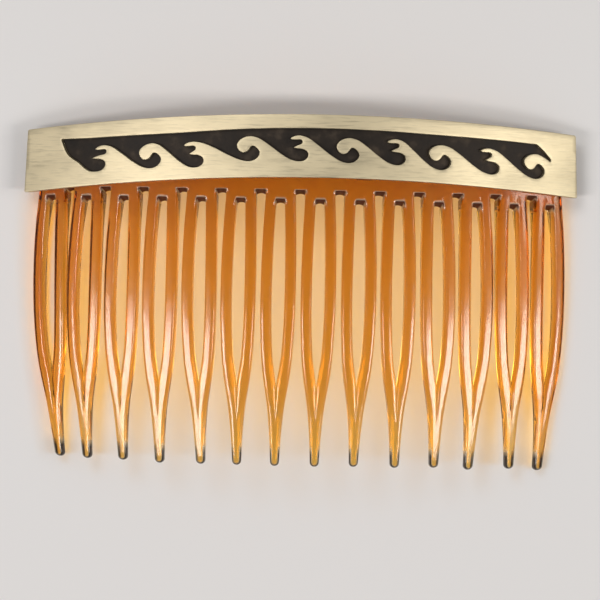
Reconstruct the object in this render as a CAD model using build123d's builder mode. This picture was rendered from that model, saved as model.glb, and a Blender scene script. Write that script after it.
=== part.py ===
"""Decorative hair comb: a bent silver bar of two soldered sheets on a moulded comb of 14 looped teeth.

The comb lies on its back as on a table: +X along the bar, +Y from the tooth tips to the bar,
+Z out of the decorated face. The bar and the comb bend about one axis that runs along Y.
"""
from build123d import *
from math import cos, degrees, radians, sin, sqrt, tan
import os

os.makedirs("parts", exist_ok=True)

# ---- the bend that every piece follows ----
bend_radius = 98.0          # decorated face of the bar

# ---- silver bar: a pierced overlay soldered on a plain backing ----
bar_length = 93.6           # along the bend
bar_width = 10.25
bar_arch = 2.65             # the middle stands this much above the ends, towards +Y
bar_tilt = 0.57             # degrees, right end raised
end_splay = 2.6             # degrees, each end is a little longer at its lower corner
bar_corner = 0.3
overlay_thickness = 0.8
backing_thickness = 0.7

# ---- moulded comb ----
spine_thickness = 2.6
spine_height = 6.0
spine_end = 0.15            # spine beyond the root of the outer teeth
bar_rise = 1.96             # bar's lower edge above the tooth roots, at the middle
tooth_count = 14
tooth_length = 44.9         # the longest tooth
root_width = 4.86
belly_width = 5.75
shoulder_width = 4.7        # where the two limbs of a tooth draw together
neck_width = 2.7            # just below the place where they meet
tip_width = 1.5
tooth_gap = 0.63            # between the bellies of two neighbours
limb_width = 1.85
slot_top = 1.5              # below the root
tip_depth = 1.5             # tooth's thickness, front to back, at its tip
tip_drop = 1.45             # tip's middle below the comb's middle surface
tooth_inset = 0.05          # the flat tooth stays inside the curved faces of the spine
# each moulded tooth leans its own way: sideways shift of its tip
tip_lean = (1.3, -0.1, -0.15, -0.2, 0.35, -0.05, -0.2, -0.05, 0.0, 0.45, 0.7, 0.25, 1.15, 0.0)
# it bows sideways by this much half way down, the outer teeth outwards
tooth_bow = (-0.85, -0.85, -0.65, -0.45, -0.35, -0.25, -0.1, 0.0, 0.2, 0.2, 0.45, 0.65, 0.45, 0.7)
# and it ends a little short of the longest
tip_short = (0.75, 0.55, 0.45, 0.15, 0.15, 0.15, 0.1, 0.1, 0.2, 0.15, 0.25, 0.0, 0.2, 0.0)

# ---- silver fixing tabs, soldered to the backing and folded over the spine ----
tab_count = 4
tab_width = 3.0
tab_thickness = 0.5
tab_foot = 2.4
tab_leaf = 4.2              # reach down the back of the spine
tab_clearance = 0.06

# ---- running wave sawn through the overlay ----
# waves alternate notched and curled, and each hand-sawn crest stands a little off its even place
first_crest = 14.2          # from the bar's left end, along the bend
last_crest = 8.1            # from the bar's right end
crest_shift = (0.0, 0.3, -0.8, 0.65, 0.7, 0.95, 0.55, 0.25, 0.3, 0.8)
crest_height = (1.3, 1.05, 0.95, 1.6, 1.7, 1.45, 1.6, 1.15, 1.3, 1.25)
hollow_shift = (-1.5, 0.0, 0.0, 0.0, 0.0, 0.0, 0.0, 0.0, 0.0, 0.0)   # hollow under a notched wave
recess_top = 2.7            # above the bar's middle line
ribbon_low = 1.9            # the stretch above this line is open from the first crest to the last
cell_lap = 0.15             # neighbouring cells of the recess lap by this much above a crest

# ---- worked out from the sizes above ----
overlay_back = bend_radius - overlay_thickness
backing_back = overlay_back - backing_thickness
spine_front = backing_back
spine_back = spine_front - spine_thickness
comb_middle = (spine_front + spine_back) / 2
tooth_pitch = belly_width + tooth_gap
bar_half_angle = degrees(bar_length / 2 / bend_radius)
bar_half_chord = bend_radius * sin(radians(bar_half_angle))
arch_radius = bar_half_chord**2 / (2 * bar_arch)
tooth_angle = degrees(tooth_pitch / comb_middle)
last_tooth_angle = tooth_angle * (tooth_count - 1) / 2
spine_half_angle = last_tooth_angle + degrees((root_width / 2 + spine_end) / comb_middle)

wave_count = len(crest_shift)
wave_pitch = (bar_length - first_crest - last_crest) / (wave_count - 1)
crest_arc = [first_crest - bar_length / 2 + wave_pitch * i + crest_shift[i] for i in range(wave_count)]
cut_floor = overlay_back - overlay_thickness / 2    # cuts start this deep and pass right through
cut_reach = 2 * overlay_thickness

# the origin is under the middle of the whole comb, on the surface that it lies on
root_y = (tooth_length - bar_rise - bar_width) / 2
spine_rest = spine_back * cos(radians(spine_half_angle))
tip_rest = (comb_middle - tip_drop - tip_depth / 2) * cos(radians(last_tooth_angle))
tip_rest -= tip_width / 2 * sin(radians(last_tooth_angle))
bar_rest = backing_back * cos(radians(bar_half_angle))
# an outer tooth also comes low at its belly, the more so for its bow
belly_share = 0.4
belly_depth = spine_thickness + (tip_depth - spine_thickness) * belly_share
belly_rest = (comb_middle - tip_drop * belly_share**2 - belly_depth / 2) * cos(radians(last_tooth_angle))
belly_rest -= (belly_width / 2 + max(tooth_bow[-1], -tooth_bow[0])) * sin(radians(last_tooth_angle))
axis_z = -min(spine_rest, tip_rest, belly_rest, bar_rest)


def bar_line(x):
    """Y of the arched middle line of the bar."""
    return root_y + bar_rise + bar_width / 2 + x * tan(radians(bar_tilt)) - x**2 / (2 * arch_radius)


def on_bend(angle, y, radius, turn=0.0):
    """Plane that touches the bend: x along it, y towards the bar, z outwards, turned about z."""
    outward = (sin(radians(angle)), 0, cos(radians(angle)))
    along = (cos(radians(angle)), 0, -sin(radians(angle)))
    origin = (radius * outward[0], y, axis_z + radius * outward[2])
    return Plane(origin=origin, x_dir=along, z_dir=outward).rotated((0, 0, turn))


def on_bar(arc, radius):
    """Plane on the bar's middle line, turned with the arch."""
    angle = degrees(arc / bend_radius)
    x = bend_radius * sin(radians(angle))
    return on_bend(angle, bar_line(x), radius, turn=bar_tilt - degrees(x / arch_radius))


def moved(plane, across, up):
    """The same plane with its origin moved within itself."""
    return Plane(origin=plane.from_local_coords((across, up)), x_dir=plane.x_dir, z_dir=plane.z_dir)


def band(low, high):
    """Arched band seen from above, between two lines parallel to the bar's middle line."""
    reach = bar_half_chord + bar_width
    with BuildSketch(Plane.XY) as sketch:
        with BuildLine():
            lower = ThreePointArc(*[(x, bar_line(x) + low) for x in (-reach, 0, reach)])
            upper = ThreePointArc(*[(x, bar_line(x) + high) for x in (-reach, 0, reach)])
            Line(lower @ 0, upper @ 0)
            Line(lower @ 1, upper @ 1)
        make_face()
    return sketch.sketch


def ring(inner, outer, half_angle):
    """Sector of a ring about the bend's axis, seen along Y."""
    far = 2 * outer
    side = far * sin(radians(half_angle))
    rise = far * cos(radians(half_angle))
    with BuildSketch(Plane.XZ) as sketch:
        with Locations((0, axis_z)):
            Circle(outer)
            Circle(inner, mode=Mode.SUBTRACT)
        with BuildLine():
            Polyline((0, axis_z), (-side, axis_z + rise), (side, axis_z + rise), close=True)
        make_face(mode=Mode.INTERSECT)
    return sketch.sketch


def end_cut(side):
    """Plane of one end face of the bar, facing outwards; it leans by the splay."""
    x = side * bar_half_chord
    plane = on_bend(side * bar_half_angle, bar_line(x), bend_radius)
    lean = radians(end_splay)
    normal = side * cos(lean) * plane.x_dir + sin(lean) * plane.y_dir
    return Plane(origin=plane.origin, x_dir=plane.z_dir, z_dir=normal)


def bar_sheet(inner, outer):
    """One sheet of the bar, bent and cut to the bar's outline."""
    with BuildPart() as sheet:
        extrude(band(-bar_width / 2, bar_width / 2), amount=bend_radius, both=True)
        extrude(ring(inner, outer, bar_half_angle + tooth_angle), amount=bend_radius, both=True,
                mode=Mode.INTERSECT)
        split(bisect_by=end_cut(-1), keep=Keep.BOTTOM)
        split(bisect_by=end_cut(1), keep=Keep.BOTTOM)
        corners = sheet.edges().filter_by(lambda edge: edge.length < 1.2 * (outer - inner))
        fillet(corners, radius=bar_corner)
    return sheet.part


def finish(builder, name):
    """Labels a finished piece and writes it."""
    builder.part.label = name
    export_step(builder.part, f"parts/{name}.step")


# ---- backing plate: the lower, oxidised sheet ----
with BuildPart() as backing_plate:
    add(bar_sheet(backing_back, overlay_back))
finish(backing_plate, "backing_plate")


# ---- overlay plate: the pierced upper sheet ----
def notched_front(shift):
    """Front of a notched wave, from its crest down to the trough: two prongs over a round hollow."""
    Spline((0, 0), (-0.9, -0.12), (-1.7, -0.52))
    Polyline((-1.7, -0.52), (-1.4, -0.7), (0.05, -0.68))
    ThreePointArc((0.05, -0.68), (0.36, -1.05), (0.1, -1.42))
    prong = (shift - 0.8, -1.95)
    trough = (shift - 0.2, -4.15)
    Line((0.1, -1.42), prong)
    Spline(prong, (shift + 0.9, -2.25), (shift + 1.65, -3.05), (shift + 1.2, -3.9), trough)
    return trough


def curled_front():
    """Front of a curled wave, from its crest round the curl and through the hollow under it."""
    Spline((0, 0), (-1.3, -0.25), (-2.38, -1.35), (-1.9, -2.35), (-1.1, -2.65), (0.0, -1.62))
    ThreePointArc((0.0, -1.62), (0.2, -1.5), (0.42, -1.6))
    Spline((0.42, -1.6), (1.35, -2.5), (0.75, -3.65), (-0.7, -4.08))
    return (-0.7, -4.08)


def last_back(index, trough):
    """Smooth back of the wave before, from the trough up to its crest; returns its upper end."""
    gap = crest_arc[index] - crest_arc[index - 1]
    drop = crest_height[index - 1] - crest_height[index]
    run = gap + trough[0]
    Spline(
        trough,
        (trough[0] - 0.3 * run, 0.74 * trough[1]),
        (trough[0] - 0.62 * run, 0.34 * trough[1] + 0.5 * drop),
        (-gap, drop),
    )
    return (-gap, drop)


def left_end(trough):
    """Left end of the recess, a slanted run from the first trough up to a point at the top line."""
    point = (-7.8, 1.55)
    Spline(trough, (-2.7, -3.9), (-4.3, -2.5), (-6.2, -1.15), point)
    return point


def wave_cell(index):
    """Opening in front of one wave: down from its crest, through its hollow and up to the left."""
    first = index == 0
    gap = wave_pitch if first else crest_arc[index] - crest_arc[index - 1]
    plane = moved(on_bar(crest_arc[index] - gap / 2, cut_floor), gap / 2, crest_height[index])
    top = recess_top - crest_height[index] if first else ribbon_low + 0.5 - crest_height[index]
    with BuildSketch(plane) as sketch:
        with BuildLine():
            trough = curled_front() if index % 2 == 1 else notched_front(hollow_shift[index])
            end = left_end(trough) if first else last_back(index, trough)
            if not first:
                Polyline(end, (end[0] - cell_lap, end[1]), (end[0] - cell_lap, top))
                end = (end[0] - cell_lap, top)
            Polyline(end, (cell_lap, top), (cell_lap, 0), (0, 0))
        make_face()
    return sketch.sketch


def tail_cell():
    """Right end of the recess, which tapers down to a point beyond the last crest."""
    top = recess_top - crest_height[-1]
    with BuildSketch(moved(on_bar(crest_arc[-1], cut_floor), 0, crest_height[-1])) as sketch:
        with BuildLine():
            Spline((0, 0), (0.9, -0.25), (2.35, -1.1))
            Spline((2.35, -1.1), (2.55, -0.65), (1.2, 0.6), (0.0, top))
            Polyline((0.0, top), (-cell_lap, top), (-cell_lap, 0), (0, 0))
        make_face()
    return sketch.sketch


def crest_ribbon():
    """Open ribbon over the crests, from the first to the last, seen from above."""
    left = bend_radius * sin(crest_arc[0] / bend_radius)
    right = bend_radius * sin(crest_arc[-1] / bend_radius)
    with BuildSketch(Plane.XY) as sketch:
        add(band(ribbon_low, recess_top))
        with Locations(((left + right) / 2, bar_line(0))):
            Rectangle(right - left, 3 * bar_width, mode=Mode.INTERSECT)
    return sketch.sketch


with BuildPart() as overlay_plate:
    add(bar_sheet(overlay_back, bend_radius))
    for wave in range(wave_count):
        extrude(wave_cell(wave), amount=cut_reach, mode=Mode.SUBTRACT)
    extrude(tail_cell(), amount=cut_reach, mode=Mode.SUBTRACT)
    extrude(crest_ribbon(), amount=bend_radius, mode=Mode.SUBTRACT)
finish(overlay_plate, "overlay_plate")


# ---- comb spine: the plain bent strip that the teeth grow from ----
with BuildPart() as comb_spine:
    with BuildSketch(Plane.XZ.offset(-root_y)) as spine_section:
        add(ring(spine_back, spine_front, spine_half_angle))
    extrude(amount=-spine_height)
finish(comb_spine, "comb_spine")


# ---- teeth: each is a loop of two bowed limbs that meet in one blunt tip ----
# share of the tooth's length below the root, and its width there
shoulder_share = 0.65
neck_share = 0.8
tooth_outline = (
    (0.0, root_width),
    (0.16, (root_width + 2 * belly_width) / 3),
    (0.34, belly_width),
    (0.5, 0.97 * belly_width),
    (shoulder_share, shoulder_width),
    (neck_share, neck_width),
    (0.9, tip_width + 0.33 * (neck_width - tip_width)),
)
# the slot closes where the tooth is only as wide as its two limbs
closing = (shoulder_width - 2 * limb_width) / (shoulder_width - neck_width)
slot_share = shoulder_share + closing * (neck_share - shoulder_share) - 0.03


def drift(share, lean, bow):
    """Sideways place of a tooth's middle: the lean grows towards the tip, the bow is in between."""
    return lean * share**2 + 4 * bow * share * (1 - share)


def limb_edge(side, length, lean, bow, narrowed=0.0, start=0.0, stop=1.0):
    """Points down one edge of a tooth, moved sideways with its middle."""
    return [
        (side * (width / 2 - narrowed) + drift(share, lean, bow), -share * length)
        for share, width in tooth_outline
        if start <= share < stop
    ]


def tooth_face(plane, length, lean, bow):
    """Outline of one tooth with its long slot."""
    tip_middle = -length + tip_width / 2
    right_tip = (lean + tip_width / 2, tip_middle)
    left_tip = (lean - tip_width / 2, tip_middle)
    slot_point = (drift(slot_share, lean, bow), -slot_share * length)
    slot_corner = root_width / 2 - limb_width
    with BuildSketch(plane) as sketch:
        with BuildLine():
            Spline(*limb_edge(1, length, lean, bow), right_tip)
            ThreePointArc(right_tip, (lean, -length), left_tip)
            Spline(*limb_edge(-1, length, lean, bow), left_tip)
            Line((-root_width / 2, 0), (root_width / 2, 0))
        make_face()
        with BuildLine():
            start = slot_top / length
            for side in (1, -1):
                edge = limb_edge(side, length, lean, bow, limb_width, start, slot_share)
                Spline((side * slot_corner, -slot_top), *edge, slot_point)
            Line((-slot_corner, -slot_top), (slot_corner, -slot_top))
        make_face(mode=Mode.SUBTRACT)
    return sketch.sketch


def tooth_side(plane):
    """Tooth seen from its side: thick at the root, thin at the tip, bowed towards the head."""
    shares = (0.0, 0.33, 0.66, 1.0)
    root_depth = spine_thickness - 2 * tooth_inset
    depths = [root_depth + (tip_depth - root_depth) * share for share in shares]
    middles = [-tip_drop * share**2 for share in shares]
    rows = list(zip(shares, depths, middles))
    front = [(share * tooth_length, middle + depth / 2) for share, depth, middle in rows]
    back = [(share * tooth_length, middle - depth / 2) for share, depth, middle in rows]
    side_plane = Plane(origin=plane.origin, x_dir=-plane.y_dir, z_dir=-plane.x_dir)
    with BuildSketch(side_plane) as sketch:
        with BuildLine():
            Spline(*front)
            Line(front[-1], back[-1])
            Spline(*back)
            Line(back[0], front[0])
        make_face()
    return sketch.sketch


for number in range(tooth_count):
    root_plane = on_bend(tooth_angle * number - last_tooth_angle, root_y, comb_middle)
    this_lean = tip_lean[number % len(tip_lean)]
    this_bow = tooth_bow[number % len(tooth_bow)]
    this_length = tooth_length - tip_short[number % len(tip_short)]
    with BuildPart() as tooth:
        outline = tooth_face(root_plane, this_length, this_lean, this_bow)
        extrude(outline, amount=2 * spine_thickness, both=True)
        extrude(tooth_side(root_plane), amount=2 * belly_width, both=True, mode=Mode.INTERSECT)
    finish(tooth, f"tooth_{number + 1:02d}")


# ---- fixing tabs: soldered to the backing above the spine, folded over it and down its back ----
spine_top = root_y + spine_height
tab_seat = sqrt(backing_back**2 - (tab_width / 2)**2)     # the flat foot touches the curved sheet
tab_back = spine_back - tab_clearance
tab_step = 2 * last_tooth_angle / tab_count
for number in range(tab_count):
    tab_plane = on_bend(tab_step * (number + 0.5) - last_tooth_angle, spine_top, 0)
    tab_side = Plane(origin=tab_plane.origin, x_dir=tab_plane.y_dir, z_dir=tab_plane.x_dir)
    riser = tab_clearance + tab_thickness
    with BuildPart() as fixing_tab:
        with BuildSketch(tab_side) as tab_section:
            with BuildLine():
                Polyline(
                    (riser + tab_foot, tab_seat),
                    (tab_clearance, tab_seat),
                    (tab_clearance, tab_back),
                    (-tab_leaf, tab_back),
                    (-tab_leaf, tab_back - tab_thickness),
                    (riser, tab_back - tab_thickness),
                    (riser, tab_seat - tab_thickness),
                    (riser + tab_foot, tab_seat - tab_thickness),
                    close=True,
                )
            make_face()
        extrude(amount=tab_width / 2, both=True)
    finish(fixing_tab, f"fixing_tab_{number + 1}")
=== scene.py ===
import math

import bmesh
import bpy
import numpy as np
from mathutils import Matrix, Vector
from mathutils.geometry import delaunay_2d_cdt


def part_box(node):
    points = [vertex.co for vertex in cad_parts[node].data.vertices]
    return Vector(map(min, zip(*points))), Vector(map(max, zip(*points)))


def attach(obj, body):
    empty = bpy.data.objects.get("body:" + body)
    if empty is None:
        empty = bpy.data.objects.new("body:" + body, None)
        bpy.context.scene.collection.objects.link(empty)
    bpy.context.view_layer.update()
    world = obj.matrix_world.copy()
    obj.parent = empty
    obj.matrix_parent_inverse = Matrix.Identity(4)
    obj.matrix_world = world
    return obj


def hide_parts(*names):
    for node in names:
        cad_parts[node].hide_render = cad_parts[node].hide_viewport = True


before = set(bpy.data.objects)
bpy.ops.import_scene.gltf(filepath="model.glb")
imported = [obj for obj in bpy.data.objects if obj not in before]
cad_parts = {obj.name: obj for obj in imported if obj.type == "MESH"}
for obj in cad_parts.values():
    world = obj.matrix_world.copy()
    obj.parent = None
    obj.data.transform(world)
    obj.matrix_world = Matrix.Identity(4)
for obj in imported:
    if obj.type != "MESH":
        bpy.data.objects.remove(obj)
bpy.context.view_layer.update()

# ---- the moulded comb ----
# One moulding of translucent amber plastic: a bent spine and 14 teeth, each a loop of two bowed
# limbs that run together into one blunt tip. The fronts of the limbs are rounded by the mould, and
# the ends of the slots are left sloping. Sizes here are millimetres and turn to metres in bend().
bend_radius = 98.0                     # decorated face of the silver bar
spine_front = 96.5
spine_thickness = 2.6
spine_depth = 2.56                     # as drawn, a skin's thickness less on each face
skin = 0.02
middle_radius = spine_front - skin - spine_depth / 2
axis_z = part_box("overlay_plate")[1][2] * 1000 - bend_radius
root_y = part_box("comb_spine")[0][1] * 1000
spine_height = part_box("comb_spine")[1][1] * 1000 - root_y - skin
tooth_pitch = 6.38
tooth_lean = (1.3, -0.1, -0.15, -0.2, 0.35, -0.05, -0.2, -0.05, 0.0, 0.45, 0.7, 0.25, 1.15, 0.0)
tooth_bow = (-0.85, -0.85, -0.65, -0.45, -0.35, -0.25, -0.1, 0.0, 0.2, 0.2, 0.45, 0.65, 0.45, 0.7)
tooth_count = len(tooth_lean)
tooth_length = 44.85                   # the longest tooth
tooth_short = (0.75, 0.55, 0.45, 0.15, 0.15, 0.15, 0.1, 0.1, 0.2, 0.15, 0.25, 0.0, 0.2, 0.0)
limb_width = 1.84
slot_top = 1.5
wall_slope = 0.95                      # height of the sloping end of a gap or slot
tip_radius = 0.75
tip_depth = 1.46
tip_drop = 1.45
outline_shares = (0.0, 0.16, 0.34, 0.5, 0.65, 0.8, 0.9, 0.98)
outline_widths = (4.84, 5.43, 5.73, 5.56, 4.68, 2.68, 1.88, 1.5)
slot_share = 0.71                      # the slot ends this far down a tooth
slot_taper = 0.1                       # and narrows over this share before it
least_slot = 0.012
merge_share = 0.13                     # the two limbs run into one over this share below the slot
limb_flatness = (5.0, 2.1)             # section of a limb, front and back
web_arch = 0.25                        # the end walls of slots and gaps are arched this much
limb_strips = 16
web_strips = 4


def bend(across, along, out, radius=middle_radius):
    """Bent place of flat points: the width wraps round the bend's axis, which runs along Y."""
    angle = across / radius
    reach = radius + out
    x = reach * np.sin(angle)
    z = axis_z + reach * np.cos(angle)
    return np.stack(np.broadcast_arrays(x, root_y + along, z), axis=-1) / 1000


def smooth_curve(at, xs, ys):
    """Cubic Hermite curve through the points (xs, ys), with the slopes of its neighbours."""
    xs, ys = np.asarray(xs, float), np.asarray(ys, float)
    slopes = np.gradient(ys, xs)
    i = np.clip(np.searchsorted(xs, at) - 1, 0, len(xs) - 2)
    step = xs[i + 1] - xs[i]
    t = (at - xs[i]) / step
    return (ys[i] * (1 + 2 * t) * (1 - t) ** 2 + slopes[i] * step * t * (1 - t) ** 2
            + ys[i + 1] * t**2 * (3 - 2 * t) + slopes[i + 1] * step * t**2 * (t - 1))


def ease(x):
    """Smooth step from 0 to 1."""
    x = np.clip(x, 0, 1)
    return x * x * (3 - 2 * x)


def dome(t, power):
    """Rounded section, 1 in the middle and 0 at t = -1 and 1; a larger power makes it flatter."""
    return np.clip(1 - np.abs(t) ** power, 0, 1) ** (1 / power)


def grid_faces(rows, columns, flip=False, start=0):
    """Quads of a grid of points stored row by row."""
    corner = start + np.arange(rows - 1)[:, None] * columns + np.arange(columns - 1)[None, :]
    quads = np.stack([corner, corner + 1, corner + columns + 1, corner + columns], axis=-1)
    quads = quads.reshape(-1, 4)
    return quads[:, ::-1] if flip else quads


def mesh_piece(name, points, faces, weld=0.0):
    """Makes a smooth-shaded piece from arrays of points and faces, with close points merged."""
    mesh = bpy.data.meshes.new(name)
    mesh.from_pydata(points.tolist(), [], [list(map(int, face)) for face in faces])
    if weld:
        work = bmesh.new()
        work.from_mesh(mesh)
        bmesh.ops.remove_doubles(work, verts=work.verts, dist=weld)
        bmesh.ops.dissolve_degenerate(work, dist=weld / 4, edges=work.edges)
        bmesh.ops.recalc_face_normals(work, faces=work.faces)
        work.to_mesh(mesh)
        work.free()
    mesh.polygons.foreach_set("use_smooth", np.ones(len(mesh.polygons), bool))
    mesh.update()
    piece = bpy.data.objects.new(name, mesh)
    bpy.context.scene.collection.objects.link(piece)
    return piece


def comb_stations(length):
    """Distances below the root, from the spine's top edge to the tip, closer where shape changes."""
    spine = -spine_height + np.array([0, 0.03, 0.1, 0.22, 0.4, 0.7, 1.6, 2.8, 4.0, 5.0, 5.6])
    root = np.array([-0.12, 0, 0.2, 0.4, 0.6, 0.8, 1.15, 1.5, 1.7, 1.9, 2.1, 2.3, 2.7, 3.2, 3.9])
    share = np.concatenate([np.linspace(0.11, 0.6, 24), np.linspace(0.62, 0.86, 22),
                            np.linspace(0.875, 0.97, 8)])
    q = np.sin(np.linspace(0.0, 0.5, 9) * np.pi)
    tip = length - tip_radius + tip_radius * q
    return np.concatenate([spine, root, share * length, tip])


def comb_levels(s, length):
    """Front, parting and back height of the moulding at distances s below the root."""
    share = np.clip(s / length, 0, 1)
    depth = spine_depth + (tip_depth - spine_depth) * share
    middle = -tip_drop * share**2
    round_tip = np.sqrt(np.clip(1 - np.clip((s - length + tip_radius) / tip_radius, 0, 1) ** 2, 0, 1))
    top_edge = np.sqrt(np.clip(1 - np.clip((0.5 - spine_height - s) / 0.5, 0, 1) ** 2, 0, 1))
    half = depth / 2 * round_tip * np.where(s < 0, top_edge, 1)
    front, back = middle + half, middle - half
    parting = back + (front - back) * 0.3 * ease((s - 1) / 7)
    return front, parting, back


def free_edge(s, front, parting, wall_start):
    """Height of the front face along an edge that comes free below wall_start, down a slope."""
    fall = np.clip((s - wall_start) / wall_slope, 0, 1)
    return front + (parting - front) * fall


def comb_parts():
    """Points and faces of the whole moulding: limbs, slot webs and gap webs, front and back."""
    points, faces, count = [], [], 0

    def patch(u, s, front, back):
        nonlocal count
        rows, columns = u.shape
        for height, flip in ((front, True), (back, False)):
            points.append(bend(u, -s, height).reshape(-1, 3))
            faces.append(grid_faces(rows, columns, flip, count))
            count += rows * columns

    c = (1 - np.cos(np.linspace(0, np.pi, limb_strips + 1))) / 2
    k = np.linspace(0, 1, web_strips + 1)
    edges = []
    for number, lean in enumerate(tooth_lean):
        short = tooth_short[number]
        length = tooth_length - short
        s = comb_stations(length)
        share = np.clip(s / length, 0, 1)
        centre = tooth_pitch * (number - (tooth_count - 1) / 2)
        centre = centre + lean * share**2 + 4 * tooth_bow[number] * share * (1 - share)
        width = smooth_curve(np.minimum(share, 0.98), outline_shares, outline_widths)
        q = np.clip((s - length + tip_radius) / tip_radius, 0, 1)
        width = width * np.sqrt(np.clip(1 - q * q, 0, 1))
        slot = np.clip(width / 2 - limb_width, 0, None)
        slot = slot * np.sqrt(np.clip((slot_share - share) / slot_taper, 0, 1))
        slot = np.where(share < slot_share, np.maximum(slot, least_slot), 0.0)
        front, parting, back = comb_levels(s, length)
        merge = ease((share - slot_share) / merge_share)
        for side in (-1, 1):
            outermost = number == (0 if side < 0 else tooth_count - 1)
            outer_start = -99 if outermost else 0.0
            e_out = free_edge(s, front, parting, outer_start)
            e_in = free_edge(s, front, parting, slot_top)
            e_in = np.where(share >= slot_share, parting + (front - parting) * merge, e_in)
            u = centre[:, None] + side * (width[:, None] / 2 + c * (slot - width / 2)[:, None])
            shape, back_shape = [dome((2 * c - 1)[None, :], power) * (1 - merge[:, None])
                                 + dome((1 - c)[None, :], power) * merge[:, None]
                                 for power in limb_flatness]
            base = e_out[:, None] + (np.where(share >= slot_share, parting, e_in) - e_out)[:, None] * c
            f = base + (front[:, None] - base) * shape
            b = parting[:, None] + (back - parting)[:, None] * back_shape
            patch(u, s[:, None] + 0 * c, f, b)
            edges.append((u[:, 0], e_out, s))
        rows = s <= slot_top + wall_slope + 1e-6
        u = centre[rows, None] + slot[rows, None] * (2 * k - 1)
        arch = web_arch * (1 - (2 * k - 1) ** 2) * np.clip((s[rows] - slot_top) / wall_slope, 0, 1)[:, None]
        f = np.repeat(free_edge(s, front, parting, slot_top)[rows, None], web_strips + 1, axis=1)
        patch(u, s[rows, None] - arch, f, np.repeat(parting[rows, None], web_strips + 1, axis=1))
    for number in range(tooth_count - 1):
        right, e_right, s = edges[2 * number + 1]
        left = edges[2 * number + 2][0]
        rows = s <= wall_slope + 1e-6
        parting = comb_levels(s, tooth_length)[1]
        u = right[rows, None] + (left - right)[rows, None] * k
        arch = web_arch * (1 - (2 * k - 1) ** 2) * np.clip(s[rows] / wall_slope, 0, 1)[:, None]
        patch(u, s[rows, None] - arch, np.repeat(e_right[rows, None], web_strips + 1, axis=1),
              np.repeat(parting[rows, None], web_strips + 1, axis=1))
    return np.concatenate(points), np.concatenate(faces)


comb = mesh_piece("moulded_comb", *comb_parts(), weld=2e-6)


def mark_comb():
    """Marks the sloping end walls, and the rim of each tip, from the places and normals of the points, as
    masks of painted shade that the material colours dark.

    A tip's rim is where the distance from the tooth's middle line, or past it from the middle of the
    tip's round end, comes near half the tooth's width.
    """
    place = np.zeros(len(comb.data.vertices) * 3)
    normal = np.zeros_like(place)
    comb.data.vertices.foreach_get("co", place)
    comb.data.vertices.foreach_get("normal", normal)
    x, y, z = 1000 * place.reshape(-1, 3).T
    below = root_y - y
    across = middle_radius * np.arctan2(x, z - axis_z)
    lean, bow, short = np.array([tooth_lean, tooth_bow, tooth_short])
    shift = (lean + 0.36 * bow) / tooth_pitch
    number = np.rint(across / tooth_pitch + (tooth_count - 1) / 2 - np.mean(shift))
    number = np.clip(number, 0, tooth_count - 1).astype(int)
    length = tooth_length - short[number]
    share = np.clip(below / length, 0, 1)
    middle = tooth_pitch * (number - (tooth_count - 1) / 2)
    middle += lean[number] * share**2 + 4 * bow[number] * share * (1 - share)
    half = smooth_curve(np.minimum(share, 0.98), outline_shares, outline_widths) / 2
    past = np.clip(below - length + tip_radius, 0, None)
    reach = np.where(past > 0, np.hypot(across - middle, past) / tip_radius, np.abs(across - middle) / half)
    # Painted shade mask: a dark outline round the rim of each tip, which the material colours dark and
    # makes nearly opaque.
    tip_rim_shade = ease((reach - 0.5) / 0.28) * ease((below - length + 3.6) / 1.6)
    # Painted shade mask: the sloping end walls of slots and gaps, which the material colours dark
    # red-brown.
    end_wall_shade = ease((-normal[1::3] - 0.08) / 0.2) * ((below > -0.5) & (below < slot_top + wall_slope + 0.3))
    for name, values in (("end_wall_shade", end_wall_shade), ("tip_rim_shade", tip_rim_shade)):
        comb.data.attributes.new(name, "FLOAT", "POINT").data.foreach_set("value", values)


mark_comb()


def new_material(name):
    """Empty node material; returns it with its node tree's nodes and links and the output node."""
    material = bpy.data.materials.new(name)
    material.use_nodes = True
    nodes, links = material.node_tree.nodes, material.node_tree.links
    nodes.clear()
    return material, nodes, links, nodes.new("ShaderNodeOutputMaterial")


def noise_node(nodes, links, scale, stretch=(1, 1, 1), detail=3.0):
    """Noise on object coordinates, drawn out along the axes with a small stretch value."""
    place = nodes.new("ShaderNodeTexCoord")
    turn = nodes.new("ShaderNodeMapping")
    turn.inputs["Scale"].default_value = stretch
    noise = nodes.new("ShaderNodeTexNoise")
    noise.inputs["Scale"].default_value = scale
    noise.inputs["Detail"].default_value = detail
    links.new(place.outputs["Object"], turn.inputs["Vector"])
    links.new(turn.outputs["Vector"], noise.inputs["Vector"])
    return noise.outputs["Fac"]


def ramp_node(nodes, links, source, stops):
    """Colour ramp over the stops (place, colour)."""
    ramp = nodes.new("ShaderNodeValToRGB")
    elements = ramp.color_ramp.elements
    for element, (place, colour) in zip(elements, (stops[0], stops[-1])):
        element.position = place
        element.color = (*colour, 1)
    for place, colour in stops[1:-1]:
        elements.new(place).color = (*colour, 1)
    links.new(source, ramp.inputs["Fac"])
    return ramp.outputs["Color"]


def range_node(nodes, links, source, low, high):
    """Maps 0..1 to low..high."""
    node = nodes.new("ShaderNodeMapRange")
    node.inputs["To Min"].default_value = low
    node.inputs["To Max"].default_value = high
    links.new(source, node.inputs["Value"])
    return node.outputs["Result"]


def bump_node(nodes, links, source, distance):
    """Bump from a height between 0 and 1; the distance is in metres."""
    bump = nodes.new("ShaderNodeBump")
    bump.inputs["Distance"].default_value = distance
    bump.inputs["Strength"].default_value = 1.0
    links.new(source, bump.inputs["Height"])
    return bump.outputs["Normal"]


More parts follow.
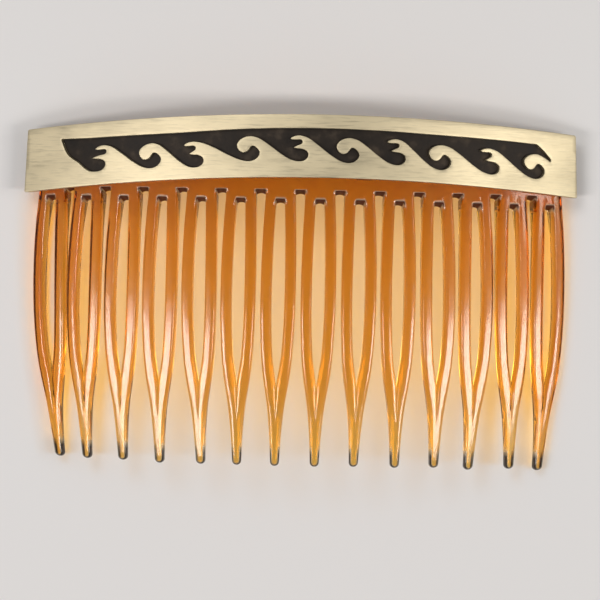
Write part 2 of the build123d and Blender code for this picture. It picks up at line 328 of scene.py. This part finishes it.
def amber_plastic():
    """Clear amber plastic, deeper in colour where it is thicker; lamps shine through it, tinted. The end
    walls of slots and gaps and the rims of the tips carry painted shade, a dark colour made nearly opaque.
    """
    material, nodes, links, output = new_material("amber_plastic")
    body = nodes.new("ShaderNodeBsdfPrincipled")
    body.inputs["IOR"].default_value = 1.49
    streak = noise_node(nodes, links, 90.0, (1.0, 0.25, 1.0))
    tone = ramp_node(nodes, links, streak, [(0.3, (0.98, 0.88, 0.6)), (0.7, (1.0, 0.94, 0.72))])
    fine = noise_node(nodes, links, 700.0)
    polish = range_node(nodes, links, fine, 0.05, 0.14)
    clear = None
    # Painted shade: the end walls are coloured dark red-brown and the tip rims dark, and both are made
    # nearly opaque, where clear plastic only looks dark by how it bends and reflects light. The end walls
    # are also made rougher.
    for mark, dark in (("end_wall_shade", (0.09, 0.014, 0.003, 1)), ("tip_rim_shade", (0.02, 0.012, 0.008, 1))):
        amount = nodes.new("ShaderNodeAttribute")
        amount.attribute_name = mark
        painted_shade = nodes.new("ShaderNodeMix")
        painted_shade.data_type = "RGBA"
        painted_shade.inputs[7].default_value = dark
        links.new(amount.outputs["Fac"], painted_shade.inputs["Factor"])
        links.new(tone, painted_shade.inputs[6])
        tone = painted_shade.outputs[2]
        weight = range_node(nodes, links, amount.outputs["Fac"], 1.0, 0.1)
        if clear is None:
            clear = weight
            torn = nodes.new("ShaderNodeMath")
            torn.operation = "MULTIPLY_ADD"
            torn.inputs[1].default_value = 0.6
            links.new(amount.outputs["Fac"], torn.inputs[0])
            links.new(polish, torn.inputs[2])
            links.new(torn.outputs["Value"], body.inputs["Roughness"])
        else:
            product = nodes.new("ShaderNodeMath")
            product.operation = "MULTIPLY"
            links.new(clear, product.inputs[0])
            links.new(weight, product.inputs[1])
            links.new(product.outputs["Value"], body.inputs["Transmission Weight"])
    links.new(tone, body.inputs["Base Color"])
    ripple = noise_node(nodes, links, 260.0, (1.0, 0.5, 1.0))
    links.new(bump_node(nodes, links, ripple, 0.00002), body.inputs["Normal"])
    lamp = nodes.new("ShaderNodeBsdfTransparent")
    lamp.inputs["Color"].default_value = (0.95, 0.88, 0.75, 1)
    path = nodes.new("ShaderNodeLightPath")
    mix = nodes.new("ShaderNodeMixShader")
    links.new(path.outputs["Is Shadow Ray"], mix.inputs["Fac"])
    links.new(body.outputs["BSDF"], mix.inputs[1])
    links.new(lamp.outputs["BSDF"], mix.inputs[2])
    links.new(mix.outputs["Shader"], output.inputs["Surface"])
    tint = nodes.new("ShaderNodeVolumeAbsorption")
    tint.inputs["Color"].default_value = (0.885, 0.69, 0.08, 1)
    tint.inputs["Density"].default_value = 1350.0
    links.new(tint.outputs["Volume"], output.inputs["Volume"])
    return material


comb.data.materials.append(amber_plastic())
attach(comb, "root")
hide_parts("comb_spine", *[f"tooth_{number:02d}" for number in range(1, tooth_count + 1)])

# ---- the overlay plate ----
# Silver sheet 0.8 mm thick, sawn by hand along a running wave of ten crests, notched and curled in
# turn, then bent, arched and soldered to the backing. Its edges are eased with a file.
bar_length = 93.5
bar_width = 10.2
bar_arch = 2.65
bar_tilt = math.radians(0.57)
end_splay = math.radians(2.6)
bar_corner = 0.3
overlay_thickness = 0.8
rim = 0.08                             # eased edge
bar_middle_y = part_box("overlay_plate")[1][1] * 1000 - bar_width / 2 - 0.03
arch_radius = (bend_radius * math.sin(bar_length / 2 / bend_radius)) ** 2 / (2 * bar_arch)
crest_arc = (-32.6, -24.35, -17.55, -8.15, -0.2, 8.0, 15.55, 23.15, 31.15, 39.5)
crest_height = (1.3, 1.05, 0.95, 1.6, 1.7, 1.45, 1.6, 1.15, 1.3, 1.25)
hollow_shift = (-1.5, 0.0, 0.0, 0.0, -0.35, 0.0, -0.25, 0.0, 0.0, 0.0)
recess_edge = ((-40.4, 2.9), (-36, 2.65), (-29, 2.5), (-20, 2.45), (-10, 2.72), (3, 2.86), (12, 2.8),
               (22, 2.68), (34, 2.76), (39.4, 2.8))


def on_bar(arc, up, out):
    """Bent place of flat points of the bar: arc along the bend, up from the arched middle line."""
    angle = arc / bend_radius
    face_x = bend_radius * np.sin(angle)
    y = bar_middle_y + face_x * math.tan(bar_tilt) - face_x**2 / (2 * arch_radius) + up
    reach = bend_radius + out
    place = np.broadcast_arrays(reach * np.sin(angle), y, axis_z + reach * np.cos(angle))
    return np.stack(place, axis=-1) / 1000


def through(points, step=0.1):
    """Smooth open path through the points, sampled about every step; the last point is left out."""
    points = np.array(points, float)
    run = np.concatenate([[0], np.cumsum(np.hypot(*np.diff(points, axis=0).T))])
    at = np.linspace(0, run[-1], max(int(run[-1] / step), 2), endpoint=False)
    if len(points) == 2:
        return np.stack([np.interp(at, run, points[:, 0]), np.interp(at, run, points[:, 1])], axis=-1)
    return np.stack([smooth_curve(at, run, points[:, 0]), smooth_curve(at, run, points[:, 1])], axis=-1)


def soften(path, reach=2, passes=2):
    """Closed path with its corners rounded: each point becomes the mean of its neighbours."""
    for _ in range(passes):
        path = np.mean([np.roll(path, shift, axis=0) for shift in range(-reach, reach + 1)], axis=0)
    return path


def notched_front(shift):
    """Front of a notched wave from its crest: two prongs over a round hollow, which may be shifted."""
    upper = [(0, 0), (-0.75, -0.08), (-1.35, -0.3), (-1.75, -0.6)]
    notch = [(-1.75, -0.6), (-1.2, -0.72), (-0.4, -0.7), (0.12, -0.7), (0.38, -0.95), (0.3, -1.3),
             (0.5 * shift - 0.2, -1.62), (shift - 0.85, -2.02)]
    hollow = [(-0.85, -2.02), (-0.15, -2.13), (0.95, -2.28), (1.6, -2.75), (1.65, -3.4), (1.2, -3.95),
              (0.4, -4.2), (-0.3, -4.18)]
    return [upper, notch, [(x + shift, y) for x, y in hollow]]


def curled_front():
    """Front of a curled wave from its crest: round the curl, into its eye and out at the trough."""
    return [[(0, 0), (-0.9, -0.12), (-1.85, -0.6), (-2.35, -1.35), (-2.05, -2.2), (-1.45, -2.65),
             (-0.85, -2.6), (-0.35, -2.15), (-0.1, -1.72), (0.15, -1.55), (0.5, -1.65),
             (1.05, -2.05), (1.4, -2.65), (1.2, -3.3), (0.65, -3.8), (-0.1, -4.05), (-0.8, -4.05)]]


def recess_path():
    """Closed edge of the pierced recess, from its left point along the top and back through the waves."""
    runs = [through(recess_edge), through([(39.4, 2.8), (40.6, 1.9), (42.05, 0.6)]),
            through([(42.05, 0.6), (41.95, 0.2), (41.3, 0.55), (40.6, 0.88), (39.5, crest_height[-1])])]
    for index in range(len(crest_arc) - 1, -1, -1):
        crest = np.array((crest_arc[index], crest_height[index]))
        strokes = curled_front() if index % 2 == 1 else notched_front(hollow_shift[index])
        for stroke in strokes:
            runs.append(crest + through(stroke))
        low = np.array(strokes[-1][-1])
        if index:
            last = np.array((crest_arc[index - 1], crest_height[index - 1])) - crest
            span = last[0] - low[0]
            back = [tuple(low), (low[0] + 0.12 * span, low[1] + 0.26),
                    (low[0] + 0.33 * span, 0.72 * low[1] + 0.15 * last[1]),
                    (low[0] + 0.62 * span, 0.34 * low[1] + 0.5 * last[1]),
                    (low[0] + 0.86 * span, 0.07 * low[1] + 0.9 * last[1]), tuple(last)]
        else:
            back = [tuple(low), (-2.3, -4.15), (-3.2, -3.7), (-4.6, -2.5), (-6.4, -1.15), (-7.8, 1.6)]
        runs.append(crest + through(back))
    return soften(np.concatenate(runs))


def bar_edge(length, width, step=0.5):
    """Closed outline of the bar with rounded corners and splayed ends, counter-clockwise."""
    half, high, r = length / 2, width / 2, bar_corner
    corner = np.linspace(0, np.pi / 2, 7)
    pieces = []
    for quarter, (side, level) in enumerate(((1, 1), (-1, 1), (-1, -1), (1, -1))):
        turn = corner + quarter * np.pi / 2
        middle = np.array((side * (half - r), level * (high - r)))
        pieces.append(middle + r * np.stack([np.cos(turn), np.sin(turn)], axis=-1))
        end = pieces[-1][-1]
        ends = {0: (-(half - r), high), 1: (-half, -(high - r)), 2: (half - r, -high), 3: (half, high - r)}
        count = int(np.hypot(*(np.array(ends[quarter]) - end)) / step)
        pieces.append(np.linspace(end, ends[quarter], count, endpoint=False)[1:])
    path = np.concatenate(pieces)
    path[:, 0] -= np.sign(path[:, 0]) * path[:, 1] * math.tan(end_splay)
    return path


def inset(path, distance):
    """Closed path moved to its left by a distance."""
    along = np.roll(path, -1, axis=0) - np.roll(path, 1, axis=0)
    along /= np.maximum(np.linalg.norm(along, axis=1, keepdims=True), 1e-9)
    return path + distance * np.stack([-along[:, 1], along[:, 0]], axis=-1)


def inside(points, path):
    """Which points lie inside a closed path, by counting the edges to their right."""
    x, y = points[:, :1], points[:, 1:]
    x0, y0 = path[None, :, 0], path[None, :, 1]
    x1, y1 = np.roll(path[:, 0], -1)[None], np.roll(path[:, 1], -1)[None]
    crosses = (y0 > y) != (y1 > y)
    at = x0 + (y - y0) / np.where(y1 == y0, 1e-9, y1 - y0) * (x1 - x0)
    return (np.sum(crosses & (at > x), axis=1) % 2) == 1


def flat_mesh(outline, hole, spacing=0.6, margin=0.15):
    """Triangles between an outline and a hole, with a loose grid of points inside for the bend."""
    low, high = outline.min(axis=0), outline.max(axis=0)
    xs = np.arange(low[0] + spacing / 2, high[0], spacing)
    ys = np.arange(low[1] + spacing / 2, high[1], spacing)
    grid = np.stack(np.meshgrid(xs, ys), axis=-1).reshape(-1, 2)
    rings = [outline] if hole is None else [outline, hole]
    keep = inside(grid, inset(outline, margin))
    if hole is not None:
        keep &= ~inside(grid, inset(hole, margin)) & ~inside(grid, hole)
    points = np.concatenate(rings + [grid[keep]])
    edges, start = [], 0
    for ring in rings:
        edges += [(start + i, start + (i + 1) % len(ring)) for i in range(len(ring))]
        start += len(ring)
    flat = [Vector(p) for p in points]
    out = delaunay_2d_cdt(flat, edges, [], 0, 1e-7)
    points = np.array([tuple(p) for p in out[0]])
    faces = np.array([face for face in out[2] if len(face) == 3])
    middle = points[faces].mean(axis=1)
    wanted = inside(middle, outline)
    if hole is not None:
        wanted &= ~inside(middle, hole)
    return points, faces[wanted]


def plate_piece(name, outline, hole, front, thickness):
    """Bent plate: flat front and back faces joined by walls with an eased rim at the front."""
    inner_outline = inset(outline, rim)
    inner_hole = None if hole is None else inset(hole, rim)
    flat, faces = flat_mesh(inner_outline, inner_hole)
    points = [on_bar(flat[:, 0], flat[:, 1], front)]
    quads = [faces]
    count = len(flat)
    steps = [(rim, 0.0), (0.62 * rim, -0.1 * rim), (0.28 * rim, -0.32 * rim), (0.06 * rim, -0.68 * rim),
             (0.0, -rim), (0.0, -0.5 * thickness), (0.0, -thickness + rim / 2), (rim / 2, -thickness)]
    back_rings = []
    for ring in [outline] + ([] if hole is None else [hole]):
        for distance, depth in steps:
            path = inset(ring, distance)
            points.append(on_bar(path[:, 0], path[:, 1], front + depth))
        n = len(ring)
        corner = np.arange(n)
        for level in range(len(steps) - 1):
            a = count + level * n + corner
            b = count + level * n + (corner + 1) % n
            quads.append(np.stack([a, a + n, b + n, b], axis=-1))
        count += n * len(steps)
        back_rings.append(inset(ring, rim / 2))
    flat, faces = flat_mesh(back_rings[0], back_rings[1] if hole is not None else None)
    points.append(on_bar(flat[:, 0], flat[:, 1], front - thickness))
    quads.append(faces[:, ::-1] + count)
    return mesh_piece(name, np.concatenate(points), [f for group in quads for f in group.tolist()],
                      weld=2e-7)


overlay = plate_piece("pierced_overlay", bar_edge(bar_length, bar_width), recess_path(), 0.0,
                      overlay_thickness)


def silver(name, colour, dull):
    """Brushed silver with fine scratches along the bar and warm tarnish in blotches."""
    material, nodes, links, output = new_material(name)
    metal = nodes.new("ShaderNodeBsdfPrincipled")
    metal.inputs["Metallic"].default_value = 1.0
    blotch = noise_node(nodes, links, 140.0, (0.6, 1.0, 0.6), 6.0)
    tones = [tuple(channel * shade for channel in colour) for shade in (0.84, 1.0, 1.1)]
    patches = ramp_node(nodes, links, blotch, [(0.34, tones[0]), (0.5, tones[1]), (0.68, tones[2])])
    brush = noise_node(nodes, links, 3600.0, (0.09, 1.0, 0.09), 6.0)
    strokes = ramp_node(nodes, links, brush, [(0.3, (0.8, 0.8, 0.8)), (0.5, (1, 1, 1)), (0.7, (1, 1, 1))])
    blend = nodes.new("ShaderNodeMix")
    blend.data_type = "RGBA"
    blend.blend_type = "MULTIPLY"
    blend.inputs["Factor"].default_value = 1.0
    links.new(patches, blend.inputs[6])
    links.new(strokes, blend.inputs[7])
    links.new(blend.outputs[2], metal.inputs["Base Color"])
    links.new(range_node(nodes, links, brush, dull - 0.1, dull + 0.12), metal.inputs["Roughness"])
    links.new(bump_node(nodes, links, brush, 0.00002), metal.inputs["Normal"])
    links.new(metal.outputs["BSDF"], output.inputs["Surface"])
    return material


bar_silver = silver("brushed_silver", (0.68, 0.59, 0.40), 0.48)
overlay.data.materials.append(bar_silver)
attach(overlay, "root")
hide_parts("overlay_plate")

# ---- the backing plate ----
# Silver sheet 0.7 mm thick under the overlay, of the same outline, soldered to it all over. The part
# that shows through the piercing is blackened with liver of sulphur and left matt.
backing_thickness = 0.7


def blackened():
    """Oxidised silver: nearly black, matt, with a faint brown sheen and a pitted surface."""
    material, nodes, links, output = new_material("blackened_silver")
    metal = nodes.new("ShaderNodeBsdfPrincipled")
    metal.inputs["Metallic"].default_value = 0.55
    cloud = noise_node(nodes, links, 420.0, (1.0, 1.0, 1.0), 5.0)
    links.new(ramp_node(nodes, links, cloud, [(0.3, (0.009, 0.006, 0.004)), (0.55, (0.022, 0.015, 0.01)),
                                              (0.8, (0.075, 0.055, 0.038))]), metal.inputs["Base Color"])
    links.new(range_node(nodes, links, cloud, 0.42, 0.7), metal.inputs["Roughness"])
    pits = noise_node(nodes, links, 2200.0, (1.0, 1.0, 1.0), 3.0)
    links.new(bump_node(nodes, links, pits, 0.00003), metal.inputs["Normal"])
    links.new(metal.outputs["BSDF"], output.inputs["Surface"])
    return material


backing = plate_piece("backing_sheet", bar_edge(bar_length, bar_width), None, -overlay_thickness,
                      backing_thickness)
backing.data.materials.append(bar_silver)
backing.data.materials.append(blackened())
height = np.zeros(len(backing.data.polygons) * 3, np.float32)
normals = np.zeros_like(height)
backing.data.polygons.foreach_get("center", height)
backing.data.polygons.foreach_get("normal", normals)
out = np.hypot(height[0::3], height[2::3] - axis_z / 1000) * 1000
slots = (out > bend_radius - overlay_thickness - 0.05) & (normals[2::3] > 0.5)
backing.data.polygons.foreach_set("material_index", slots.astype(np.int32))
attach(backing, "root")
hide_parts("backing_plate")

# ---- the fixing tabs ----
# Four straps of 0.5 mm silver sheet behind the bar. The foot of each is soldered to the backing just
# above the spine, and the strap is folded over the spine and pressed flat down its back.
tab_width = 3.0
tab_thickness = 0.5
tab_foot = 2.4
tab_leaf = 4.2
tab_clearance = 0.06
tab_names = [f"fixing_tab_{number}" for number in range(1, 5)]


def strap_piece(name, angle):
    """Flat strap: a rounded rectangle carried along a bent line in the plane across the bar."""
    half = tab_thickness / 2
    seat = math.sqrt(spine_front**2 - (tab_width / 2) ** 2) - half
    behind = spine_front - spine_thickness - tab_clearance - half
    top = spine_height + skin + tab_clearance + half
    foot_end = top + half + tab_foot - skin
    leaf_end = spine_height + tab_clearance - tab_leaf
    line = [(foot_end, seat), (top, seat), (top, behind), (leaf_end, behind)]
    legs = [np.linspace(a, b, 12, endpoint=False) for a, b in zip(line, line[1:])]
    run = np.concatenate(legs + [[line[-1]]])
    smooth = run.copy()
    for _ in range(2):
        smooth[1:-1] = (smooth[:-2] + smooth[1:-1] + smooth[2:]) / 3
    along = np.gradient(smooth, axis=0)
    along /= np.linalg.norm(along, axis=1, keepdims=True)
    side = np.stack([-along[:, 1], along[:, 0]], axis=-1)
    turn = np.linspace(0, 2 * np.pi, 32, endpoint=False)
    square = lambda wave: np.sign(wave) * np.abs(wave) ** 0.18
    wide = tab_width / 2 * square(np.cos(turn))
    thick = half * square(np.sin(turn))
    shrink = np.ones(len(run))
    shrink[0] = shrink[-1] = 0.86
    place = smooth[:, None, :] + side[:, None, :] * thick[None, :, None] * shrink[:, None, None]
    across = wide[None, :] * shrink[:, None]
    reach = place[..., 1]
    x = reach * math.sin(angle) + across * math.cos(angle)
    z = axis_z + reach * math.cos(angle) - across * math.sin(angle)
    points = np.stack([x, root_y + place[..., 0], z], axis=-1).reshape(-1, 3) / 1000
    rows, columns = place.shape[:2]
    faces = []
    for row in range(rows - 1):
        for column in range(columns):
            after = (column + 1) % columns
            faces.append((row * columns + column, row * columns + after,
                          (row + 1) * columns + after, (row + 1) * columns + column))
    faces += [tuple(range(columns)), tuple(range((rows - 1) * columns, rows * columns))]
    return mesh_piece(name, points, faces, weld=2e-7)


for name in tab_names:
    low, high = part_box(name)
    angle = math.atan2(low[0] + high[0], low[2] + high[2] - 2 * axis_z / 1000)
    tab = strap_piece("strap_" + name[-1], angle)
    tab.data.materials.append(bar_silver)
    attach(tab, "root")
    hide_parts(name)

# ---- table, lamps and camera ----
# A plain pale table, large soft lamps above and to both sides, and a long lens looking straight down.
table_reach = 1.5
table_corners = table_reach * np.array([(-1, -1, 0), (1, -1, 0), (1, 1, 0), (-1, 1, 0)])
floor = mesh_piece("table", table_corners, [(0, 1, 2, 3)])
table, nodes, links, output = new_material("pale_table")
matt = nodes.new("ShaderNodeBsdfPrincipled")
matt.inputs["Base Color"].default_value = (0.78, 0.77, 0.77, 1)
matt.inputs["Roughness"].default_value = 0.9
links.new(matt.outputs["BSDF"], output.inputs["Surface"])
floor.data.materials.append(table)

world = bpy.data.worlds.new("studio")
bpy.context.scene.world = world
world.use_nodes = True
sky, sky_links = world.node_tree.nodes, world.node_tree.links
facing = sky.new("ShaderNodeTexCoord")
parts = sky.new("ShaderNodeSeparateXYZ")
sky_links.new(facing.outputs["Generated"], parts.inputs["Vector"])
shade = ramp_node(sky, sky_links, parts.outputs["Z"], [
    (0.0, (0.11, 0.10, 0.09)), (0.25, (0.18, 0.17, 0.16)), (0.55, (0.33, 0.34, 0.35)),
    (0.85, (0.35, 0.36, 0.37)), (0.97, (0.16, 0.16, 0.16))])
sky_links.new(shade, sky["Background"].inputs["Color"])
sky["Background"].inputs["Strength"].default_value = 0.88


def lamp(name, place, target, width, height, power, colour=(1, 1, 1)):
    """Soft rectangular lamp that faces its target."""
    light = bpy.data.lights.new(name, "AREA")
    light.shape = "RECTANGLE"
    light.size = width
    light.size_y = height
    light.energy = power
    light.color = colour
    lamp_object = bpy.data.objects.new(name, light)
    lamp_object.location = place
    lamp_object.rotation_euler = (Vector(target) - Vector(place)).to_track_quat("-Z", "Y").to_euler()
    bpy.context.scene.collection.objects.link(lamp_object)


lamp("key", (-0.28, 0.42, 0.75), (0, 0, 0), 0.35, 0.35, 1.8, (1.0, 0.98, 0.95))
lamp("box_left", (-0.36, -0.09, 0.5), (-0.36, -0.09, 0), 0.39, 0.07, 1.3, (1.0, 0.95, 0.92))
lamp("rim_right", (0.6, 0.09, 0.5), (0, 0, 0), 0.2, 0.12, 0.5, (1.0, 0.97, 0.9))
lamp("box_right", (0.5, -0.09, 0.5), (0.5, -0.09, 0), 0.5, 0.07, 1.7, (1.0, 0.95, 0.9))

bpy.context.scene.view_settings.view_transform = "Standard"
camera_height = 0.8
camera = bpy.data.cameras.new("camera")
camera.sensor_width = 36.0
camera.lens = 292.32
camera_object = bpy.data.objects.new("camera", camera)
roll = math.radians(1.2)
camera_object.location = (0.00025, -0.00143, camera_height)
camera_object.rotation_euler = (0, 0, roll)
bpy.context.scene.collection.objects.link(camera_object)
bpy.context.scene.camera = camera_object
